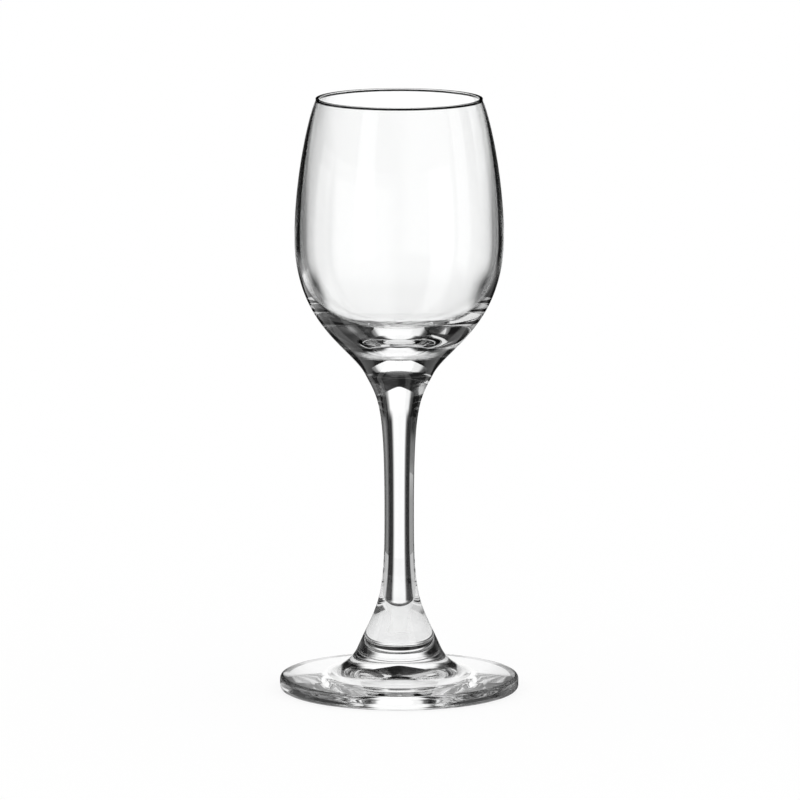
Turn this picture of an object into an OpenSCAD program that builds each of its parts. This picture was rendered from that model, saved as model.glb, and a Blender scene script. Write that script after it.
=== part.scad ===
// Stemmed liqueur glass: a tulip bowl, a drawn solid stem and a round foot, all of clear glass.
// The three pieces are fused end to end on flat round joints, and one outline runs over all of them.
// Millimetres, +Z up. The origin is on the axis, in the plane that the foot rests on.

/* [Bowl] */
// Height of the bowl, from its joint with the stem to the top of the lip
bowl_h = 62.7; // [52:0.1:75]
// Outside diameter at the lip
rim_d = 37.7; // [32:0.1:44]
// Angle at which the wall leans in at the lip, from the vertical
rim_lean = 22; // [5:0.5:30]
// Length over which the wall keeps that lean, below the lip
rim_pull = 5; // [2:0.1:9]
// Outside diameter at the widest place
belly_d = 47.3; // [45:0.1:54]
// Height of the widest place above the joint with the stem
belly_h = 31.2; // [29:0.1:36]
// Length over which the side stays upright, above the widest place
belly_pull_up = 12.5; // [8:0.1:18]
// Length over which the side stays upright, below the widest place
belly_pull_down = 19.7; // [18:0.1:23]
// Thickness of the wall at the lip
rim_wall = 1; // [0.7:0.05:1.4]
// Thickness of the wall at the widest place
belly_wall = 1.2; // [0.8:0.05:1.8]
// Thickness of the solid base, from the joint with the stem to the floor of the cavity
base_t = 8.2; // [6.5:0.1:11]
// Length over which the cavity's side stays upright, below the widest place
cavity_pull_down = 16.8; // [12:0.1:18]
// Distance from the axis over which the cavity's floor stays level
cavity_pull_out = 13; // [8:0.1:15]

/* [Neck joint] */
// Diameter of the joint between the bowl and the stem
neck_d = 15.5; // [12:0.1:18]
// Angle at which the outline leans out through that joint, from the vertical
neck_lean = 27.5; // [15:0.5:35]
// Length over which the outline keeps that lean, on either side of the joint
neck_pull = 6.7; // [3:0.1:8]

/* [Stem] */
// Length of the stem between its two joints
stem_h = 62.5; // [55:0.1:85]
// Diameter at the thinnest place
waist_d = 6.7; // [5:0.1:9]
// Height of the thinnest place above the joint with the foot
waist_h = 30.2; // [26:0.1:35]
// Length over which the stem stays thin, above the thinnest place
waist_pull_up = 25.7; // [10:0.1:27]
// Length over which the stem stays thin, below the thinnest place
waist_pull_down = 20.5; // [8:0.1:23]

/* [Flare joint] */
// Diameter of the joint between the stem and the foot
flare_d = 18.6; // [14:0.1:22]
// Angle at which the outline spreads through that joint, from the vertical
flare_lean = 23.6; // [15:0.1:32]
// Length over which the stem keeps that spread, above the joint
flare_pull = 11.3; // [5:0.1:13]

/* [Foot] */
// Diameter of the foot
foot_d = 54.2; // [48:0.1:66]
// Height of the foot's edge
edge_h = 3.2; // [2.2:0.1:5]
// Radius of the edge's polished corners
edge_round = 0.9; // [0.3:0.05:1]
// Angle at which the top of the foot rises towards the middle
top_slope = 6; // [2:0.5:8]
// Height of the boss in the middle, from the top of the edge to the joint with the stem
boss_h = 6.6; // [5:0.1:9]
// Radius of the fillet round the boss
boss_fillet = 9; // [4:0.1:12]
// Width of the flat ring underneath that the foot rests on
ring_w = 10.2; // [3:0.1:13]
// Depth of the hollow inside that ring, at the axis
hollow_depth = 3.4; // [0.5:0.1:4.5]
// Distance from the axis over which the top of that hollow stays level
hollow_tip = 2; // [0.5:0.1:5]

/* [Hidden] */

$fn = 180;
// Straight steps that stand for each curve of an outline
curve_steps = 32;
// Straight steps that stand for each small arc
arc_steps = 12;
glass_colour = [0.90, 0.94, 0.95, 0.45];

// Heights above the surface that the foot rests on
flare_z = edge_h + boss_h;
neck_z = flare_z + stem_h;
top_z = neck_z + bowl_h;

// Places on the outline, as distance from the axis and height
flare = [flare_d / 2, flare_z];
waist = [waist_d / 2, flare_z + waist_h];
neck = [neck_d / 2, neck_z];
belly = [belly_d / 2, neck_z + belly_h];
lip_centre = [(rim_d - rim_wall) / 2, top_z - rim_wall / 2];

// A place at distance d from p, along a line that leans out from straight up by lean degrees
function beyond(p, lean, d) = p + d * [sin(lean), cos(lean)];

// A place at radius r round the centre c, at an angle counted from straight out
function round_about(c, r, angle) = c + r * [cos(angle), sin(angle)];

// Places along an arc, from one angle to another, with or without its first place
function arc(c, r, from, to, first = 0) =
    [for (i = [first : arc_steps]) round_about(c, r, from + (to - from) * i / arc_steps)];

// Places along a cubic curve from a to d that heads for b first and comes in from c, without a itself
function curve(a, b, c, d) =
    [for (i = [1 : curve_steps])
        let (t = i / curve_steps, u = 1 - t)
        u * u * u * a + 3 * u * u * t * b + 3 * u * t * t * c + t * t * t * d];

// A solid of revolution from its outline
module turned(outline) {
    color(glass_colour)
        rotate_extrude()
            polygon(outline);
}

// Bowl: a solid base that spreads from the neck, a thin wall and a round lip
module bowl() {
    lip_out = round_about(lip_centre, rim_wall / 2, rim_lean);
    lip_in = round_about(lip_centre, rim_wall / 2, 180 + rim_lean);
    cavity_belly = belly - [belly_wall, 0];
    cavity_floor = [0, neck_z + base_t];
    outside = concat(
        [neck],
        curve(neck, beyond(neck, neck_lean, neck_pull), belly - [0, belly_pull_down], belly),
        curve(belly, belly + [0, belly_pull_up], beyond(lip_out, -rim_lean, -rim_pull), lip_out));
    lip = concat(
        arc(lip_centre, rim_wall / 2, rim_lean, 90, first = 1),
        arc(lip_centre, rim_wall / 2, 90, 180 + rim_lean, first = 1));
    inside = concat(
        curve(lip_in, beyond(lip_in, -rim_lean, -rim_pull), cavity_belly + [0, belly_pull_up], cavity_belly),
        curve(cavity_belly, cavity_belly - [0, cavity_pull_down],
              cavity_floor + [cavity_pull_out, 0], cavity_floor));
    turned(concat([[0, neck_z]], outside, lip, inside));
}

// Stem: a solid rod, drawn thin in the middle, that spreads to meet the foot and the bowl
module stem() {
    lower_side = curve(flare, beyond(flare, -flare_lean, flare_pull), waist - [0, waist_pull_down], waist);
    upper_side = curve(waist, waist + [0, waist_pull_up], beyond(neck, neck_lean, -neck_pull), neck);
    turned(concat([[0, flare_z], flare], lower_side, upper_side, [[0, neck_z]]));
}

// Foot: a round disc with a polished edge, a boss on top and a cone-shaped hollow underneath
module foot() {
    edge_low = [foot_d / 2 - edge_round, edge_round];
    edge_high = [foot_d / 2 - edge_round, edge_h - edge_round];
    ring_in = edge_low - [ring_w, edge_round];
    crown = [0, hollow_depth];
    hollow = concat([crown], curve(crown, crown + [hollow_tip, 0], (crown + ring_in) / 2, ring_in));
    edge = concat(arc(edge_low, edge_round, -90, 0), arc(edge_high, edge_round, 0, 90 - top_slope));
    slope_start = round_about(edge_high, edge_round, 90 - top_slope);

    // The fillet touches the sloping top and the flare, which cross at the corner
    turn = 90 - flare_lean - top_slope;
    drop = (flare[1] - slope_start[1] - (slope_start[0] - flare[0]) * tan(top_slope))
        / (1 - tan(flare_lean) * tan(top_slope));
    corner = flare + drop * [tan(flare_lean), -1];
    fillet_room = drop / cos(flare_lean) / tan(turn / 2);
    fillet_r = min(boss_fillet, fillet_room);
    fillet_start = corner + fillet_r * tan(turn / 2) * [cos(top_slope), -sin(top_slope)];
    fillet_centre = fillet_start + fillet_r * [sin(top_slope), cos(top_slope)];
    fillet = arc(fillet_centre, fillet_r, 270 - top_slope, 180 + flare_lean);
    meets_flare = fillet_r == fillet_room ? [] : [flare];

    turned(concat(hollow, edge, fillet, meets_flare, [[0, flare_z]]));
}

foot();
stem();
bowl();
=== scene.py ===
"""Looks of a stemmed liqueur glass: a bowl, a stem and a foot of clear glass on a white studio floor.

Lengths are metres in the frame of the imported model: +Z up, the origin on the axis where the foot rests.
Azimuths are degrees from +Y, which is straight behind the glass, towards +X, which is on its right.
"""

import logging
import math
from dataclasses import dataclass
from enum import Enum

import bpy
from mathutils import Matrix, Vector


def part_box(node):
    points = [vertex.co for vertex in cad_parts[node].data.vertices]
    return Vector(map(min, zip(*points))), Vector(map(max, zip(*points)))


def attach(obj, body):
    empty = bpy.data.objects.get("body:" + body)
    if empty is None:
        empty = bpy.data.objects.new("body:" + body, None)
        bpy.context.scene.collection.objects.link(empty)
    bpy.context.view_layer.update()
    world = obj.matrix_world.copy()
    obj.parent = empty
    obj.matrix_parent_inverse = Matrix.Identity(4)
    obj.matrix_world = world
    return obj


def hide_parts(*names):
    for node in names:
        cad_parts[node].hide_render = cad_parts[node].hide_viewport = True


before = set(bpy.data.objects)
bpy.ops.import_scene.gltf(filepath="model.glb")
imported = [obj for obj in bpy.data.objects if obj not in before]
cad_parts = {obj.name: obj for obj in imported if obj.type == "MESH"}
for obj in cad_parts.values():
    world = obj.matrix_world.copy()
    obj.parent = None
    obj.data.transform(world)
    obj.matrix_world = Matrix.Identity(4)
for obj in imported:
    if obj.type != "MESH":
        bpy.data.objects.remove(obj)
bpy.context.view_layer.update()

LOG = logging.getLogger("liqueur_glass")
MM = 0.001

Colour = tuple[float, float, float, float]
Levels = tuple[tuple[float, float], ...]
Feed = bpy.types.NodeSocket | float | tuple[float, ...]


class Slot(Enum):
    """Material slots of a piece, in their order on the mesh."""

    GLASS = 0
    FUSED = 1
    FLOOR = 2


class Rise(Enum):
    """Ways to go over from one value to another."""

    STRAIGHT = "LINEAR"
    SMOOTH = "SMOOTHSTEP"


def grey(level: float) -> Colour:
    """A colourless colour of some level."""
    return (level, level, level, 1.0)


def place(out: float, up: float) -> Vector:
    """A place in the outline's plane, from its distance from the axis and its height."""
    return Vector((out, 0.0, up))


def heading(lean: float) -> Vector:
    """A unit step that leans out from straight up by some degrees."""
    return place(math.sin(math.radians(lean)), math.cos(math.radians(lean)))


def spoke(angle: float) -> Vector:
    """A unit step at an angle in degrees, counted from straight out."""
    return place(math.cos(math.radians(angle)), math.sin(math.radians(angle)))


def add_node(tree: bpy.types.NodeTree, kind: str, feeds: dict[int | str, Feed] | None = None,
             **options: str) -> bpy.types.Node:
    """Adds a shader node.

    Args:
        tree: The node tree to add to.
        kind: Blender's name for the kind of node.
        feeds: For an input, by its name or number, a socket to link to it or a value to set.
        options: Settings of the node itself, such as its operation.

    Returns:
        The node.
    """
    node = tree.nodes.new(kind)
    for option, choice in options.items():
        setattr(node, option, choice)
    for key, feed in (feeds or {}).items():
        if isinstance(feed, bpy.types.NodeSocket):
            tree.links.new(feed, node.inputs[key])
        else:
            node.inputs[key].default_value = feed
    return node


def figure(tree: bpy.types.NodeTree, operation: str, *feeds: Feed) -> bpy.types.NodeSocket:
    """Works out a number with a Math node.

    Args:
        tree: The node tree to add to.
        operation: What to work out.
        feeds: The values that go into it, in order.

    Returns:
        The socket of the result.
    """
    return add_node(tree, "ShaderNodeMath", dict(enumerate(feeds)), operation=operation).outputs["Value"]


def arrow(tree: bpy.types.NodeTree, operation: str, *feeds: Feed) -> bpy.types.Node:
    """Works out a vector, or its length, with a Vector Math node.

    Args:
        tree: The node tree to add to.
        operation: What to work out.
        feeds: The vectors that go into it, in order.

    Returns:
        The node.
    """
    return add_node(tree, "ShaderNodeVectorMath", dict(enumerate(feeds)), operation=operation)


def between(tree: bpy.types.NodeTree, value: bpy.types.NodeSocket, low: float, high: float,
            first: float = 0.0, last: float = 1.0, rise: Rise = Rise.STRAIGHT) -> bpy.types.NodeSocket:
    """Goes over from one number to another while a value rises.

    Args:
        tree: The node tree to add to.
        value: The value.
        low: Value where the change starts.
        high: Value where it ends.
        first: The number at the start.
        last: The number at the end.
        rise: The way from one to the other.

    Returns:
        The socket of the result.
    """
    feeds = {"Value": value, "From Min": low, "From Max": high, "To Min": first, "To Max": last}
    return add_node(tree, "ShaderNodeMapRange", feeds, interpolation_type=rise.value).outputs["Result"]


def blend(tree: bpy.types.NodeTree, share: bpy.types.NodeSocket, first: bpy.types.NodeSocket,
          second: bpy.types.NodeSocket) -> bpy.types.NodeSocket:
    """Goes over from one level to another.

    Args:
        tree: The node tree to add to.
        share: Share of the second level.
        first: The level at 0.
        second: The level at 1.

    Returns:
        The socket of the result.
    """
    share_input, first_input, second_input, colour_output = 0, 6, 7, 2
    feeds = {share_input: share, first_input: first, second_input: second}
    return add_node(tree, "ShaderNodeMix", feeds, data_type="RGBA").outputs[colour_output]


def ramp(tree: bpy.types.NodeTree, share: bpy.types.NodeSocket, stops: Levels) -> bpy.types.NodeSocket:
    """Turns a share from 0 to 1 into a level.

    Args:
        tree: The node tree to add to.
        share: The share.
        stops: Pairs of share and level, at most 32.

    Returns:
        The socket of the level.
    """
    scale = add_node(tree, "ShaderNodeValToRGB", {"Fac": share})
    marks = scale.color_ramp.elements
    while len(marks) > 1:
        marks.remove(marks[-1])
    for number, (position, level) in enumerate(stops):
        mark = marks[0] if number == 0 else marks.new(position)
        mark.position = position
        mark.color = grey(level)
    return scale.outputs["Color"]


def mix_shader(tree: bpy.types.NodeTree, share: bpy.types.NodeSocket, first: bpy.types.Node,
               second: bpy.types.Node) -> bpy.types.Node:
    """Mixes two shaders.

    Args:
        tree: The node tree to add to.
        share: Share of the second shader.
        first: The shader at 0.
        second: The shader at 1.

    Returns:
        The node.
    """
    return add_node(tree, "ShaderNodeMixShader", {"Fac": share, 1: first.outputs[0], 2: second.outputs[0]})


def bare_material(name: str) -> bpy.types.Material:
    """Makes a material that has no shader yet.

    Args:
        name: Name of the material.

    Returns:
        The material, which lights nothing by itself.
    """
    material = bpy.data.materials.new(name)
    material.use_nodes = True
    material.node_tree.nodes.remove(material.node_tree.nodes["Principled BSDF"])
    material.cycles.emission_sampling = "NONE"
    return material


def show(tree: bpy.types.NodeTree, shader: bpy.types.Node) -> None:
    """Links a shader to the material's output."""
    tree.links.new(shader.outputs[0], tree.nodes["Material Output"].inputs["Surface"])


@dataclass(frozen=True)
class Stroke:
    """One curve of an outline: its two ends, the two places it heads for, and its number of steps."""

    start: Vector
    leaves: Vector
    arrives: Vector
    end: Vector
    steps: int

    @classmethod
    def straight(cls, start: Vector, end: Vector, steps: int) -> "Stroke":
        """A straight stroke.

        Args:
            start: Where it starts.
            end: Where it ends.
            steps: Rows of faces along it.

        Returns:
            The stroke.
        """
        third = (end - start) / 3
        return cls(start, start + third, end - third, end, steps)

    @classmethod
    def arc(cls, centre: Vector, radius: float, first: float, last: float, steps: int) -> "Stroke":
        """A stroke along part of a circle, of a quarter turn or less.

        Args:
            centre: Centre of the circle.
            radius: Its radius.
            first: Angle at the start, in degrees from straight out.
            last: Angle at the end.
            steps: Rows of faces along it.

        Returns:
            The stroke.
        """
        pull = 4 / 3 * math.tan(math.radians(last - first) / 4) * radius
        start = centre + radius * spoke(first)
        end = centre + radius * spoke(last)
        return cls(start, start + pull * spoke(first + 90), end - pull * spoke(last + 90), end, steps)


@dataclass(frozen=True)
class ClearGlass:
    """Fire-polished colourless glass with a slightly wavy skin.

    Attributes:
        name: Name of the material.
        tint: Colour that the light takes on at each surface.
        index: Index of refraction.
        wave_size: Width of the waves that the tools leave in hot glass.
        wave_depth: Depth of those waves.
    """

    name: str = "clear_glass"
    tint: Colour = (0.994, 0.997, 0.996, 1.0)
    index: float = 1.51
    wave_size: float = 16 * MM
    wave_depth: float = 0.006 * MM

    def make(self) -> bpy.types.Material:
        """Makes the material.

        Returns:
            The material, for the outer skin of each piece.
        """
        material = bpy.data.materials.new(self.name)
        material.use_nodes = True
        tree = material.node_tree
        skin = tree.nodes["Principled BSDF"]
        skin.inputs["Base Color"].default_value = self.tint
        skin.inputs["Roughness"].default_value = 0.0
        skin.inputs["IOR"].default_value = self.index
        skin.inputs["Transmission Weight"].default_value = 1.0
        spot = add_node(tree, "ShaderNodeTexCoord").outputs["Object"]
        feeds = {"Vector": spot, "Scale": 1 / self.wave_size, "Detail": 1.0}
        waves = add_node(tree, "ShaderNodeTexNoise", feeds)
        feeds = {"Height": waves.outputs["Fac"], "Strength": 1.0, "Distance": self.wave_depth}
        bump = add_node(tree, "ShaderNodeBump", feeds)
        tree.links.new(self.finer(tree, spot, bump.outputs["Normal"]), skin.inputs["Normal"])
        return material

    def finer(self, tree: bpy.types.NodeTree, spot: bpy.types.NodeSocket,
              normal: bpy.types.NodeSocket) -> bpy.types.NodeSocket:
        """Adds finer relief over the waves; plain glass has none."""
        return normal


@dataclass(frozen=True)
class WrinkledGlass(ClearGlass):
    """The same glass on the floor of the cavity, where blowing leaves fine wrinkles round the middle.

    Attributes:
        name: Name of the material.
        wrinkle_turns: About six times this many wrinkles run out from the middle.
        wrinkle_drift: How much they wander, for each metre away from the middle.
        wrinkle_detail: Finer wrinkles among them, as levels of the noise.
        wrinkle_depth: Depth of the wrinkles.
        wrinkle_clear: Distance from the axis where they begin.
        wrinkle_start: Distance from the axis where they have reached that depth.
        wrinkle_fade: Distance from the axis where they start to die out.
        wrinkle_end: Distance from the axis where they have died out.
    """

    name: str = "clear_glass_floor"
    wrinkle_turns: float = 10.0
    wrinkle_drift: float = 60.0
    wrinkle_detail: float = 2.0
    wrinkle_depth: float = 0.12 * MM
    wrinkle_clear: float = 0.5 * MM
    wrinkle_start: float = 2 * MM
    wrinkle_fade: float = 5 * MM
    wrinkle_end: float = 7.5 * MM

    def finer(self, tree: bpy.types.NodeTree, spot: bpy.types.NodeSocket,
              normal: bpy.types.NodeSocket) -> bpy.types.NodeSocket:
        """Adds wrinkles that fan out from the axis.

        Args:
            tree: The node tree to add to.
            spot: The place on the piece.
            normal: The normal with the waves.

        Returns:
            The normal with the waves and the wrinkles.
        """
        flat = arrow(tree, "MULTIPLY", spot, (1, 1, 0)).outputs["Vector"]
        away = arrow(tree, "LENGTH", flat).outputs["Value"]
        round_axis = arrow(tree, "SCALE", arrow(tree, "NORMALIZE", flat).outputs["Vector"])
        round_axis.inputs["Scale"].default_value = self.wrinkle_turns
        drift = figure(tree, "MULTIPLY", away, self.wrinkle_drift)
        outward = add_node(tree, "ShaderNodeCombineXYZ", {"Z": drift})
        wander = arrow(tree, "ADD", round_axis.outputs["Vector"], outward.outputs["Vector"])
        feeds = {"Vector": wander.outputs["Vector"], "Scale": 1.0, "Detail": self.wrinkle_detail}
        noise = add_node(tree, "ShaderNodeTexNoise", feeds)
        grows = between(tree, away, self.wrinkle_clear, self.wrinkle_start)
        fades = between(tree, away, self.wrinkle_end, self.wrinkle_fade)
        relief = figure(tree, "MULTIPLY", noise.outputs["Fac"], figure(tree, "MULTIPLY", grows, fades))
        feeds = {"Height": relief, "Strength": 1.0, "Distance": self.wrinkle_depth, "Normal": normal}
        return add_node(tree, "ShaderNodeBump", feeds).outputs["Normal"]


@dataclass(frozen=True)
class FusedJoint:
    """The plane where two hot pieces have melted into one: nothing shows there."""

    name: str = "fused_joint"

    def make(self) -> bpy.types.Material:
        """Makes the material.

        Returns:
            The material, for the flat ends that are fused together.
        """
        material = bare_material(self.name)
        show(material.node_tree, add_node(material.node_tree, "ShaderNodeBsdfTransparent"))
        return material


@dataclass
class TurnedPiece:
    """A piece of glass turned about the axis from its outline.

    Attributes:
        name: Name of the piece.
        node: Name of the CAD node that it stands for.
        steps_round: Steps of the spin, all the way round.
        flat_rows: Rows of faces on a flat end or a short straight side.
        weld: Distance within which two vertices are one.
        level: Distance from a height within which a face lies at it.
        crease: Angle in degrees above which an edge stays sharp.
    """

    name: str
    node: str
    steps_round: int = 208
    flat_rows: int = 8
    weld: float = 0.0005 * MM
    level: float = 0.001 * MM
    crease: float = 35

    def strokes(self) -> list[Stroke]:
        """The outline of the piece, which each kind of piece draws for itself."""
        raise NotImplementedError

    def joints(self) -> list[float]:
        """Heights of the flat ends that are fused to a neighbour."""
        raise NotImplementedError

    def skin_of(self, face: bpy.types.MeshPolygon) -> Slot:
        """The slot of a face that isn't fused; most pieces have one skin."""
        return Slot.GLASS

    def draw(self) -> None:
        """Draws the outline as a curve with one spline for each stroke, and leaves it selected and active."""
        bpy.ops.object.select_all(action="DESELECT")
        bpy.ops.curve.primitive_bezier_curve_add(enter_editmode=True, location=(0, 0, 0))
        outline = bpy.context.active_object
        for number, stroke in enumerate(self.strokes()):
            if number:
                bpy.ops.curve.primitive_bezier_curve_add(location=(0, 0, 0))
            spline = outline.data.splines[-1]
            spline.resolution_u = stroke.steps
            first, last = spline.bezier_points
            for knot in (first, last):
                knot.handle_left_type = "FREE"
                knot.handle_right_type = "FREE"
            first.co = stroke.start
            first.handle_left = stroke.start
            first.handle_right = stroke.leaves
            last.co = stroke.end
            last.handle_left = stroke.arrives
            last.handle_right = stroke.end
        bpy.ops.object.mode_set(mode="OBJECT")

    def build(self) -> bpy.types.Object:
        """Turns the outline into a closed shell.

        Returns:
            The piece.
        """
        self.draw()
        bpy.ops.object.convert(target="MESH")
        piece = bpy.context.active_object
        piece.name = self.name
        piece.data.name = self.name
        bpy.ops.object.mode_set(mode="EDIT")
        bpy.ops.mesh.select_all(action="SELECT")
        bpy.ops.mesh.remove_doubles(threshold=self.weld)
        bpy.ops.mesh.spin(steps=self.steps_round, angle=math.tau, center=(0, 0, 0), axis=(0, 0, 1))
        bpy.ops.mesh.select_all(action="SELECT")
        bpy.ops.mesh.remove_doubles(threshold=self.weld)
        bpy.ops.mesh.normals_make_consistent(inside=False)
        bpy.ops.object.mode_set(mode="OBJECT")
        bpy.ops.object.shade_smooth_by_angle(angle=math.radians(self.crease))
        return piece

    def dress(self, piece: bpy.types.Object, finishes: dict[Slot, bpy.types.Material]) -> None:
        """Gives the piece its materials, and the flat ends theirs.

        Args:
            piece: The piece.
            finishes: The material of each slot.
        """
        piece.data.materials.clear()
        for slot in Slot:
            piece.data.materials.append(finishes[slot])
        heights = self.joints()
        for face in piece.data.polygons:
            fused = any(abs(face.center.z - height) < self.level for height in heights)
            face.material_index = (Slot.FUSED if fused else self.skin_of(face)).value

    def make(self, finishes: dict[Slot, bpy.types.Material]) -> bpy.types.Object:
        """Builds and dresses the piece, and ties it to the frame.

        Args:
            finishes: The material of each slot.

        Returns:
            The finished piece.
        """
        piece = self.build()
        self.dress(piece, finishes)
        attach(piece, "root")
        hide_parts(self.node)
        return piece


@dataclass
class Bowl(TurnedPiece):
    """The tulip bowl, with its thick base, its thin wall and a lip that swells a little at the top.

    The solid of the same piece has a plain round lip, a little thicker than this one.

    Attributes:
        rim_d: Outside diameter at the lip.
        rim_lean: Angle at which the wall leans in at the lip, from the vertical.
        rim_pull: Length over which the wall keeps that lean, below the lip.
        rim_wall: Thickness of the lip at its top.
        belly_h: Height of the widest place above the joint with the stem.
        belly_pull_up: Length over which the side stays upright, above the widest place.
        belly_pull_down: Length over which the outside stays upright, below the widest place.
        belly_wall: Thickness of the wall at the widest place.
        base_t: Thickness of the solid base, from the joint to the floor of the cavity.
        cavity_pull_down: Length over which the cavity's side stays upright, below the widest place.
        cavity_pull_out: Distance from the axis over which the cavity's floor stays level.
        neck_d: Diameter of the joint with the stem.
        neck_lean: Angle at which the outline leans out through that joint, from the vertical.
        neck_pull: Length over which the outline keeps that lean.
        lip_neck: Thickness of the wall where the lip starts to swell.
        lip_drop: How far that place lies below the lip, along the wall.
        lip_bend: Length over which each end of the swell keeps its direction.
        lip_swell: Angle by which each side of the lip spreads from the wall.
        lip_round: Radius of the lip's two corners.
        floor_top: Height under which a face that looks up is on the cavity's floor.
        flank_rows: Rows of faces from the widest place down, outside and inside.
        wall_rows: Rows of faces from the widest place up to the lip.
        swell_rows: Rows of faces on each side of the swell.
        round_rows: Rows of faces on about a quarter turn of a corner of the lip.
    """

    name: str = "glass_bowl"
    node: str = "bowl"
    rim_d: float = 37.7 * MM
    rim_lean: float = 22
    rim_pull: float = 5 * MM
    rim_wall: float = 0.8 * MM
    belly_h: float = 31.2 * MM
    belly_pull_up: float = 12.5 * MM
    belly_pull_down: float = 19.7 * MM
    belly_wall: float = 1.2 * MM
    base_t: float = 8.2 * MM
    cavity_pull_down: float = 16.8 * MM
    cavity_pull_out: float = 13 * MM
    neck_d: float = 15.5 * MM
    neck_lean: float = 27.5
    neck_pull: float = 6.7 * MM
    lip_neck: float = 0.5 * MM
    lip_drop: float = 0.7 * MM
    lip_bend: float = 0.28 * MM
    lip_swell: float = 20
    lip_round: float = 0.14 * MM
    floor_top: float = 88 * MM
    flank_rows: int = 96
    wall_rows: int = 56
    swell_rows: int = 10
    round_rows: int = 8

    def joints(self) -> list[float]:
        """The bowl is fused to the stem underneath."""
        return [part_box(self.node)[0].z]

    def skin_of(self, face: bpy.types.MeshPolygon) -> Slot:
        """The floor of the cavity faces up, in the lower part of the bowl."""
        on_floor = face.normal.z > 0 and face.center.z < self.floor_top
        return Slot.FLOOR if on_floor else Slot.GLASS

    def strokes(self) -> list[Stroke]:
        """The outline, from the middle of the joint round the lip to the middle of the cavity's floor.

        Returns:
            The strokes, in order.
        """
        low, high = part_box(self.node)
        neck = place(self.neck_d / 2, low.z)
        belly = place(high.x, low.z + self.belly_h)
        cavity_belly = belly - place(self.belly_wall, 0)
        floor = place(0, low.z + self.base_t)
        upright = place(0, self.belly_pull_up)
        up_wall = heading(-self.rim_lean)
        rim_step = self.rim_pull * up_wall

        # The lip's two corners turn from the outer side of the swell, over the level top, to the inner side
        corner_out = place(self.rim_d / 2 - self.lip_round, high.z - self.lip_round)
        corner_in = corner_out - place(self.rim_wall - 2 * self.lip_round, 0)
        rounding = place(0, self.lip_round)
        first = self.rim_lean - self.lip_swell
        top = 90
        half = 135
        last = 180 + self.rim_lean + self.lip_swell
        swell_out = corner_out + self.lip_round * spoke(first)
        swell_in = corner_in + self.lip_round * spoke(last)
        under_lip = (corner_out + corner_in) / 2 - self.lip_drop * up_wall
        wall_out = under_lip + self.lip_neck / 2 * spoke(self.rim_lean)
        wall_in = under_lip - self.lip_neck / 2 * spoke(self.rim_lean)
        bend = self.lip_bend * up_wall
        return [
            Stroke.straight(place(0, low.z), neck, self.flat_rows),
            Stroke(neck, neck + self.neck_pull * heading(self.neck_lean),
                   belly - place(0, self.belly_pull_down), belly, self.flank_rows),
            Stroke(belly, belly + upright, wall_out - rim_step, wall_out, self.wall_rows),
            Stroke(wall_out, wall_out + bend,
                   swell_out - self.lip_bend * spoke(first + 90), swell_out, self.swell_rows),
            Stroke.arc(corner_out, self.lip_round, first, top, self.round_rows),
            Stroke.straight(corner_out + rounding, corner_in + rounding, self.round_rows // 2),
            Stroke.arc(corner_in, self.lip_round, top, half, self.round_rows // 2),
            Stroke.arc(corner_in, self.lip_round, half, last, self.round_rows),
            Stroke(swell_in, swell_in + self.lip_bend * spoke(last + 90),
                   wall_in + bend, wall_in, self.swell_rows),
            Stroke(wall_in, wall_in - rim_step, cavity_belly + upright, cavity_belly, self.wall_rows),
            Stroke(cavity_belly, cavity_belly - place(0, self.cavity_pull_down),
                   floor + place(self.cavity_pull_out, 0), floor, self.flank_rows),
        ]


@dataclass
class Stem(TurnedPiece):
    """The drawn stem, thin in the middle and flared at both ends.

    Attributes:
        waist_d: Diameter at the thinnest place.
        waist_h: Height of the thinnest place above the joint with the foot.
        waist_pull_up: Length over which the stem stays thin, above the thinnest place.
        waist_pull_down: Length over which the stem stays thin, below the thinnest place.
        neck_d: Diameter of the joint with the bowl.
        neck_lean: Angle at which the outline leans out through that joint, from the vertical.
        neck_pull: Length over which the outline keeps that lean.
        flare_d: Diameter of the joint with the foot.
        flare_lean: Angle at which the outline spreads through that joint, from the vertical.
        flare_pull: Length over which the outline keeps that spread.
        side_rows: Rows of faces from the thinnest place to either end.
    """

    name: str = "glass_stem"
    node: str = "stem"
    waist_d: float = 6.7 * MM
    waist_h: float = 30.2 * MM
    waist_pull_up: float = 25.7 * MM
    waist_pull_down: float = 20.5 * MM
    neck_d: float = 15.5 * MM
    neck_lean: float = 27.5
    neck_pull: float = 6.7 * MM
    flare_d: float = 18.6 * MM
    flare_lean: float = 23.6
    flare_pull: float = 11.3 * MM
    side_rows: int = 128

    def joints(self) -> list[float]:
        """The stem is fused to the foot below it and to the bowl above it."""
        low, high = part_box(self.node)
        return [low.z, high.z]

    def strokes(self) -> list[Stroke]:
        """The outline, from the middle of the lower joint to the middle of the upper one.

        Returns:
            The strokes, in order.
        """
        low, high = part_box(self.node)
        flare = place(self.flare_d / 2, low.z)
        waist = place(self.waist_d / 2, low.z + self.waist_h)
        neck = place(self.neck_d / 2, high.z)
        return [
            Stroke.straight(place(0, low.z), flare, self.flat_rows),
            Stroke(flare, flare + self.flare_pull * heading(-self.flare_lean),
                   waist - place(0, self.waist_pull_down), waist, self.side_rows),
            Stroke(waist, waist + place(0, self.waist_pull_up),
                   neck - self.neck_pull * heading(self.neck_lean), neck, self.side_rows),
            Stroke.straight(neck, place(0, high.z), self.flat_rows),
        ]


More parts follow.
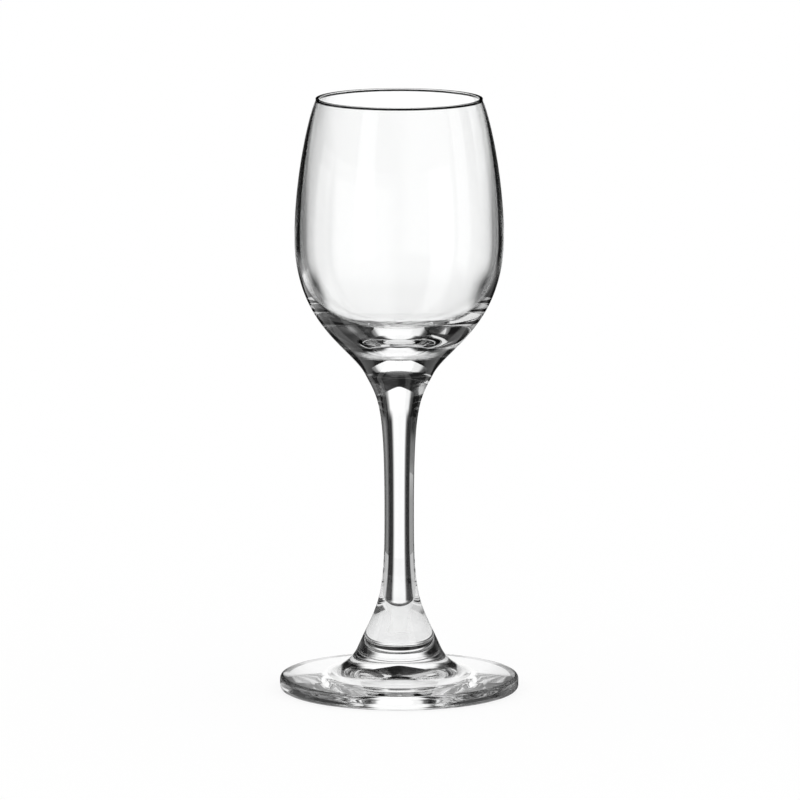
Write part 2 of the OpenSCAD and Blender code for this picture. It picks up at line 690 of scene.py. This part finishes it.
@dataclass
class Foot(TurnedPiece):
    """The round foot, with its polished edge, the boss on top and the cone-shaped hollow underneath.

    Attributes:
        edge_h: Height of the foot's edge.
        edge_round: Radius of the edge's polished corners.
        top_slope: Angle at which the top rises towards the middle.
        boss_fillet: Radius of the fillet round the boss.
        ring_w: Width of the flat ring underneath that the foot rests on.
        hollow_depth: Depth of the hollow inside that ring, at the axis.
        hollow_tip: Distance from the axis over which the top of the hollow stays level.
        flare_d: Diameter of the joint with the stem.
        flare_lean: Angle at which the outline spreads through that joint, from the vertical.
        hollow_rows: Rows of faces on the hollow.
        round_rows: Rows of faces on each corner of the edge.
        slope_rows: Rows of faces on the sloping top.
        fillet_rows: Rows of faces on the fillet.
        flare_rows: Rows of faces between the fillet and the joint.
    """

    name: str = "glass_foot"
    node: str = "foot"
    edge_h: float = 3.2 * MM
    edge_round: float = 0.9 * MM
    top_slope: float = 6
    boss_fillet: float = 9 * MM
    ring_w: float = 10.2 * MM
    hollow_depth: float = 3.4 * MM
    hollow_tip: float = 2 * MM
    flare_d: float = 18.6 * MM
    flare_lean: float = 23.6
    hollow_rows: int = 64
    round_rows: int = 12
    slope_rows: int = 24
    fillet_rows: int = 28
    flare_rows: int = 2

    def joints(self) -> list[float]:
        """The foot is fused to the stem on top."""
        return [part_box(self.node)[1].z]

    def strokes(self) -> list[Stroke]:
        """The outline, from the middle of the hollow round the edge to the middle of the joint.

        Returns:
            The strokes, in order.
        """
        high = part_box(self.node)[1]
        edge_low = place(high.x - self.edge_round, self.edge_round)
        edge_high = place(high.x - self.edge_round, self.edge_h - self.edge_round)
        edge_step = place(self.edge_round, 0)
        ring_out = place(edge_low.x, 0)
        ring_in = place(edge_low.x - self.ring_w, 0)
        crown = place(0, self.hollow_depth)
        flare = place(self.flare_d / 2, high.z)

        # The fillet touches the sloping top and the flare, which cross at the corner
        turn = 90 - self.flare_lean - self.top_slope
        slope = math.tan(math.radians(self.top_slope))
        spread = math.tan(math.radians(self.flare_lean))
        slope_start = edge_high + self.edge_round * spoke(90 - self.top_slope)
        fall = flare.z - slope_start.z - (slope_start.x - flare.x) * slope
        corner = flare + fall / (1 - spread * slope) * place(spread, -1)
        reach = self.boss_fillet * math.tan(math.radians(turn / 2))
        fillet_start = corner + reach * spoke(-self.top_slope)
        centre = fillet_start + self.boss_fillet * spoke(90 - self.top_slope)
        fillet_end = centre + self.boss_fillet * spoke(180 + self.flare_lean)
        return [
            Stroke(crown, crown + place(self.hollow_tip, 0),
                   (crown + ring_in) / 2, ring_in, self.hollow_rows),
            Stroke.straight(ring_in, ring_out, self.flat_rows),
            Stroke.arc(edge_low, self.edge_round, -90, 0, self.round_rows),
            Stroke.straight(edge_low + edge_step, edge_high + edge_step, self.flat_rows),
            Stroke.arc(edge_high, self.edge_round, 0, 90 - self.top_slope, self.round_rows),
            Stroke.straight(slope_start, fillet_start, self.slope_rows),
            Stroke.arc(centre, self.boss_fillet,
                       270 - self.top_slope, 180 + self.flare_lean, self.fillet_rows),
            Stroke.straight(fillet_end, flare, self.flare_rows),
            Stroke.straight(flare, place(0, high.z), self.flat_rows),
        ]


@dataclass
class WhiteRoom:
    """The even white light all round, and how far light is followed through the glass.

    Attributes:
        overhead: Level that the glass shows of the room above the cards.
        turns: Most turns of a path of light.
        turns_through: Most turns of it through glass.
        turns_off: Most turns of it by reflection.
        turns_unseen: Most surfaces that it passes without a turn.
    """

    overhead: float = 0.01
    turns: int = 32
    turns_through: int = 28
    turns_off: int = 16
    turns_unseen: int = 32

    def make(self) -> None:
        """Fills the surroundings with even white light, dimmer where only the glass looks up at it."""
        world = bpy.data.worlds.new("white_room")
        bpy.context.scene.world = world
        world.use_nodes = True
        tree = world.node_tree
        white = tree.nodes["Background"]
        white.inputs["Color"].default_value = grey(1)
        white.inputs["Strength"].default_value = 1.0
        above = add_node(tree, "ShaderNodeBackground", {"Color": grey(1), "Strength": self.overhead})
        path = add_node(tree, "ShaderNodeLightPath").outputs
        by_glass = figure(tree, "MAXIMUM", path["Is Glossy Ray"], path["Is Transmission Ray"])
        pick = mix_shader(tree, by_glass, white, above)
        tree.links.new(pick.outputs[0], tree.nodes["World Output"].inputs["Surface"])

    def set_paths(self) -> None:
        """Lets light pass through all the walls of the glass."""
        scene = bpy.context.scene
        scene.view_settings.view_transform = "Standard"
        scene.cycles.max_bounces = self.turns
        scene.cycles.transmission_bounces = self.turns_through
        scene.cycles.glossy_bounces = self.turns_off
        scene.cycles.transparent_max_bounces = self.turns_unseen
        scene.cycles.blur_glossy = 0.0


@dataclass
class WhiteFloor:
    """The white studio floor, which keeps the shadow of the glass.

    Attributes:
        radius: Radius of the floor.
        drop: How far it lies below the foot.
        glow: Share of its white that shadows don't reach.
        matt: Lightness of the floor for the light that it throws back.
        corners: Corners of its outline.
    """

    radius: float = 12.0
    drop: float = 0.05 * MM
    glow: float = 0.82
    matt: float = 0.9
    corners: int = 96

    def make(self) -> bpy.types.Object:
        """Makes the floor.

        Returns:
            The floor.
        """
        bpy.ops.object.select_all(action="DESELECT")
        bpy.ops.mesh.primitive_circle_add(
            vertices=self.corners, radius=self.radius, fill_type="NGON", location=(0, 0, 0))
        floor = bpy.context.active_object
        floor.name = "studio_floor"
        floor.location.z = -self.drop
        floor.data.materials.append(self.paint())
        return floor

    def paint(self) -> bpy.types.Material:
        """Makes the floor's finish: matt where it throws light on the glass, partly glowing where it is seen.

        Returns:
            The material.
        """
        material = bare_material("white_floor")
        tree = material.node_tree
        matt = add_node(tree, "ShaderNodeBsdfDiffuse", {"Color": grey(self.matt)})
        glow = add_node(tree, "ShaderNodeEmission", {"Color": grey(1), "Strength": self.glow})
        shaded = add_node(tree, "ShaderNodeBsdfDiffuse", {"Color": grey(1 - self.glow)})
        white = add_node(tree, "ShaderNodeAddShader", {0: glow.outputs[0], 1: shaded.outputs[0]})
        path = add_node(tree, "ShaderNodeLightPath").outputs
        in_sight = figure(tree, "MAXIMUM", path["Is Camera Ray"], path["Is Glossy Ray"])
        seen = figure(tree, "MAXIMUM", in_sight, path["Is Transmission Ray"])
        show(tree, mix_shader(tree, seen, matt, white))
        return material


@dataclass
class GlassOnly:
    """A round piece of the studio that only the glass shows: no camera sees it, and it lights nothing.

    Attributes:
        name: Name of the piece.
        radius: Distance from the axis.
        height: Its height.
        drop: How far its foot lies below the foot of the glass.
        corners: Corners of its outline.
    """

    name: str
    radius: float
    height: float
    drop: float
    corners: int

    def shape(self) -> None:
        """Shapes the piece, which each kind does for itself, and leaves it active."""
        raise NotImplementedError

    def paint(self) -> bpy.types.Material:
        """The painted glow and finish of the piece, which each kind makes for itself."""
        raise NotImplementedError

    def start(self, radius: float) -> None:
        """Adds the circle that the piece grows from, and goes into edit mode with all of it selected.

        Args:
            radius: Radius of the circle.
        """
        bpy.ops.object.select_all(action="DESELECT")
        bpy.ops.mesh.primitive_circle_add(
            vertices=self.corners, radius=radius, fill_type="NOTHING", location=(0, 0, 0))
        bpy.ops.object.mode_set(mode="EDIT")
        bpy.ops.mesh.select_all(action="SELECT")

    def raise_wall(self) -> None:
        """Draws the selected edges straight up to the piece's height."""
        bpy.ops.mesh.extrude_edges_move(TRANSFORM_OT_translate={"value": (0, 0, self.height)})

    def make(self) -> bpy.types.Object:
        """Makes the piece.

        Returns:
            The piece.
        """
        self.shape()
        bpy.ops.object.mode_set(mode="OBJECT")
        piece = bpy.context.active_object
        piece.name = self.name
        piece.location.z = -self.drop
        piece.visible_camera = False
        piece.visible_diffuse = False
        piece.visible_shadow = False
        piece.data.materials.append(self.paint())
        return piece


@dataclass
class CardRing(GlassOnly):
    """A ring of glowing cards on a table, dark and light, which gives the glass its white middle and dark
    edges.

    The cards and the table glow: their levels are painted light, bright and dark, that only the glass shows.
    The lists of cards are pairs of azimuth and level, and run straight from one pair to the next.

    Attributes:
        start_radius: Distance from the axis where the table starts.
        near_from: Distance from the axis up to which the table has its near levels.
        near_to: Distance from the axis where it has its far ones.
        seam: Distance from the axis where the table has gone over into the cards.
        seam_width: Width of that change.
        blend_from: Height up to which the cards have their low levels.
        blend_to: Height where they have their high ones.
        gap_low: Clearness of the gap in the cards, at its bottom.
        gap_high: Clearness of the gap, at its top.
        gap_from: Height up to which the gap has the first clearness.
        gap_to: Height where it has the second.
        gloss: Share of the light that the polished part of the table reflects.
        left_cards: Levels on the left, on the table as well as on the cards.
        right_cards: Levels on the front right, on the table as well as on the cards.
        near_cards: Levels of the table round the foot, between those two.
        floor_cards: Levels of the table farther out.
        low_cards: Levels of the lower part of the cards.
        high_cards: Levels of the upper part of the cards.
        gap_cards: Where the cards are open, as 0 or 1.
        gloss_cards: Where the table is polished, as 0 or 1.
    """

    name: str = "studio_cards"
    radius: float = 130 * MM
    height: float = 131 * MM
    drop: float = 0.025 * MM
    corners: int = 180
    start_radius: float = 25 * MM
    near_from: float = 30 * MM
    near_to: float = 33 * MM
    seam: float = 129.9 * MM
    seam_width: float = 0.2 * MM
    blend_from: float = 58 * MM
    blend_to: float = 78 * MM
    gap_low: float = 0.32
    gap_high: float = 1.0
    gap_from: float = 22 * MM
    gap_to: float = 60 * MM
    gloss: float = 0.95
    left_cards: Levels = (
        (-180, 0.1), (-165, 0.6), (-110, 0.6), (-102, 0.05),
        (-99, 0.9), (-81, 0.9), (-78, 0.03),
    )
    right_cards: Levels = ((121, 0.1), (124, 0.85), (146, 0.85), (149, 0.1))
    near_cards: Levels = (
        (-60, 0.06), (-56, 0.55), (-36, 0.55), (-31, 0.01),
        (31, 0.01), (36, 0.55), (56, 0.55), (60, 0.06),
    )
    floor_cards: Levels = (
        (-60, 0.06), (-56, 0.55), (-36, 0.55), (-31, 0.01),
        (-17.8, 0.01), (-15.5, 0.22), (-13.5, 0.75), (-12, 1.05),
        (11, 1.05), (14, 0.6), (16.5, 0.15), (19, 0.01),
        (31, 0.01), (36, 0.55), (56, 0.55), (60, 0.06),
    )
    low_cards: Levels = (
        (-60, 0.06), (-33.5, 0.09), (-29, 0.005),
        (-17.8, 0.005), (-15.5, 0.2), (-13.5, 0.75), (-12, 1.05),
        (11, 1.05), (14, 0.6), (16, 0.15), (18, 0.005),
        (29, 0.005), (35.5, 0.09), (41, 0.29), (47.6, 0.24), (54, 0.1), (60, 0.05),
    )
    high_cards: Levels = (
        (-60, 0.03), (-42, 0.005), (-27, 0.005), (-25, 0.06), (-20.5, 0.12),
        (-19, 0.45), (-17.8, 0.78), (-16.5, 0.93), (-11, 0.97), (-8.5, 1.12),
        (15, 1.12), (18, 0.85), (19.2, 0.35), (23, 0.2), (25, 0.005),
        (42, 0.005), (48, 0.12), (60, 0.04),
    )
    gap_cards: Levels = ((-180, 0), (-60, 0), (-58, 1), (-33, 1), (-31, 0))
    gloss_cards: Levels = ((-180, 0), (-26, 0), (-22, 1), (22, 1), (26, 0))

    def shape(self) -> None:
        """Spreads the table from its inner edge out to the cards, and stands the cards on it."""
        self.start(self.start_radius)
        wider = self.radius / self.start_radius
        bpy.ops.mesh.extrude_edges_move()
        bpy.ops.transform.resize(value=(wider, wider, 1))
        self.raise_wall()

    @staticmethod
    def levels(tree: bpy.types.NodeTree, turn: bpy.types.NodeSocket, cards: Levels) -> bpy.types.NodeSocket:
        """Turns the azimuth into the level of the card that stands there.

        Args:
            tree: The node tree to add to.
            turn: Azimuth as a share of a full turn, from -180 degrees.
            cards: Pairs of azimuth in degrees and level.

        Returns:
            The socket of the level.
        """
        return ramp(tree, turn, tuple(((azimuth + 180) / 360, level) for azimuth, level in cards))

    def paint(self) -> bpy.types.Material:
        """Makes the finish of the table and the cards: their painted glow, the polished part and the gap.

        Returns:
            The material.
        """
        material = bare_material("card_glow_levels")
        tree = material.node_tree
        spot = add_node(tree, "ShaderNodeTexCoord").outputs["Object"]
        apart = add_node(tree, "ShaderNodeSeparateXYZ", {"Vector": spot}).outputs
        azimuth = figure(tree, "ARCTAN2", apart["X"], apart["Y"])
        turn = figure(tree, "MULTIPLY_ADD", azimuth, 1 / math.tau, 0.5)
        away = arrow(tree, "LENGTH", spot).outputs["Value"]
        off_foot = between(tree, away, self.near_from, self.near_to, rise=Rise.SMOOTH)
        on_cards = between(tree, away, self.seam - self.seam_width, self.seam, rise=Rise.SMOOTH)
        raised = between(tree, apart["Z"], self.blend_from, self.blend_to, rise=Rise.SMOOTH)

        near, far, low, high = (
            self.levels(tree, turn, self.left_cards + middle + self.right_cards)
            for middle in (self.near_cards, self.floor_cards, self.low_cards, self.high_cards))
        table = blend(tree, off_foot, near, far)
        cards = blend(tree, raised, low, high)
        # Painted light: the table and the cards glow at their levels, though no lamp lights them
        lit = add_node(tree, "ShaderNodeEmission", {"Color": blend(tree, on_cards, table, cards)})

        clearness = between(tree, apart["Z"], self.gap_from, self.gap_to, self.gap_low, self.gap_high)
        gap = add_node(tree, "ShaderNodeBsdfTransparent", {"Color": clearness})
        is_gap = figure(tree, "MULTIPLY", self.levels(tree, turn, self.gap_cards), on_cards)
        gapped = mix_shader(tree, is_gap, lit, gap)

        polish = add_node(tree, "ShaderNodeBsdfGlossy", {"Color": grey(self.gloss), "Roughness": 0.0})
        on_table = figure(tree, "SUBTRACT", 1.0, on_cards)
        behind = figure(tree, "MULTIPLY", on_table, self.levels(tree, turn, self.gloss_cards))
        is_polished = figure(tree, "MULTIPLY", behind, off_foot)
        show(tree, mix_shader(tree, is_polished, gapped, polish))
        return material


@dataclass
class DarkScreen(GlassOnly):
    """A dark round screen that glows, which stands behind the gap in the cards.

    Attributes:
        levels: Pairs of a share of the screen's height and the level of its painted glow there.
    """

    name: str = "studio_screen"
    radius: float = 350 * MM
    height: float = 200 * MM
    drop: float = 0.0
    corners: int = 96
    levels: Levels = ((0, 0.55), (0.05, 0.3), (0.13, 0.2), (0.22, 0.005))

    def shape(self) -> None:
        """Stands the screen up."""
        self.start(self.radius)
        self.raise_wall()

    def paint(self) -> bpy.types.Material:
        """Makes the screen's painted glow, which is darker higher up.

        Returns:
            The material.
        """
        material = bare_material("screen_glow_level")
        tree = material.node_tree
        spot = add_node(tree, "ShaderNodeTexCoord").outputs["Object"]
        apart = add_node(tree, "ShaderNodeSeparateXYZ", {"Vector": spot}).outputs
        share = figure(tree, "DIVIDE", apart["Z"], self.height)
        # Painted light: the screen glows, darker higher up, though no lamp lights it
        show(tree, add_node(tree, "ShaderNodeEmission", {"Color": ramp(tree, share, self.levels)}))
        return material


@dataclass
class PhotoCamera:
    """The camera, where the photograph was taken from.

    Attributes:
        place: Where it stands.
        target: What it is aimed at.
        lens: Focal length in millimetres.
        sensor: Width of the sensor in millimetres.
    """

    place: tuple[float, float, float] = (0.00018, -1.7669, 0.34915)
    target: tuple[float, float, float] = (0.00018, 0.0, 0.06627)
    lens: float = 356.06
    sensor: float = 36

    def make(self) -> bpy.types.Object:
        """Makes the scene's camera.

        Returns:
            The camera.
        """
        bpy.ops.object.select_all(action="DESELECT")
        bpy.ops.object.camera_add(location=self.place)
        camera = bpy.context.active_object
        camera.name = "photo_camera"
        aim = Vector(self.target) - Vector(self.place)
        camera.rotation_mode = "QUATERNION"
        camera.rotation_quaternion = aim.to_track_quat("-Z", "Y")
        camera.data.sensor_width = self.sensor
        camera.data.lens = self.lens
        camera.data.dof.use_dof = False
        bpy.context.scene.camera = camera
        return camera


def main() -> None:
    """Builds the studio and the glass in order."""
    logging.basicConfig(level=logging.INFO, format="%(name)s: %(message)s")
    camera = PhotoCamera().make()
    LOG.info("%s: lens %.1f mm", camera.name, camera.data.lens)
    room = WhiteRoom()
    room.make()
    room.set_paths()
    for stage in (WhiteFloor(), CardRing(), DarkScreen()):
        LOG.info("%s: stage", stage.make().name)
    finishes = {
        Slot.GLASS: ClearGlass().make(),
        Slot.FUSED: FusedJoint().make(),
        Slot.FLOOR: WrinkledGlass().make(),
    }
    for part in (Foot(), Stem(), Bowl()):
        piece = part.make(finishes)
        LOG.info("%s: %d faces", piece.name, len(piece.data.polygons))


if __name__ == "__main__":
    main()
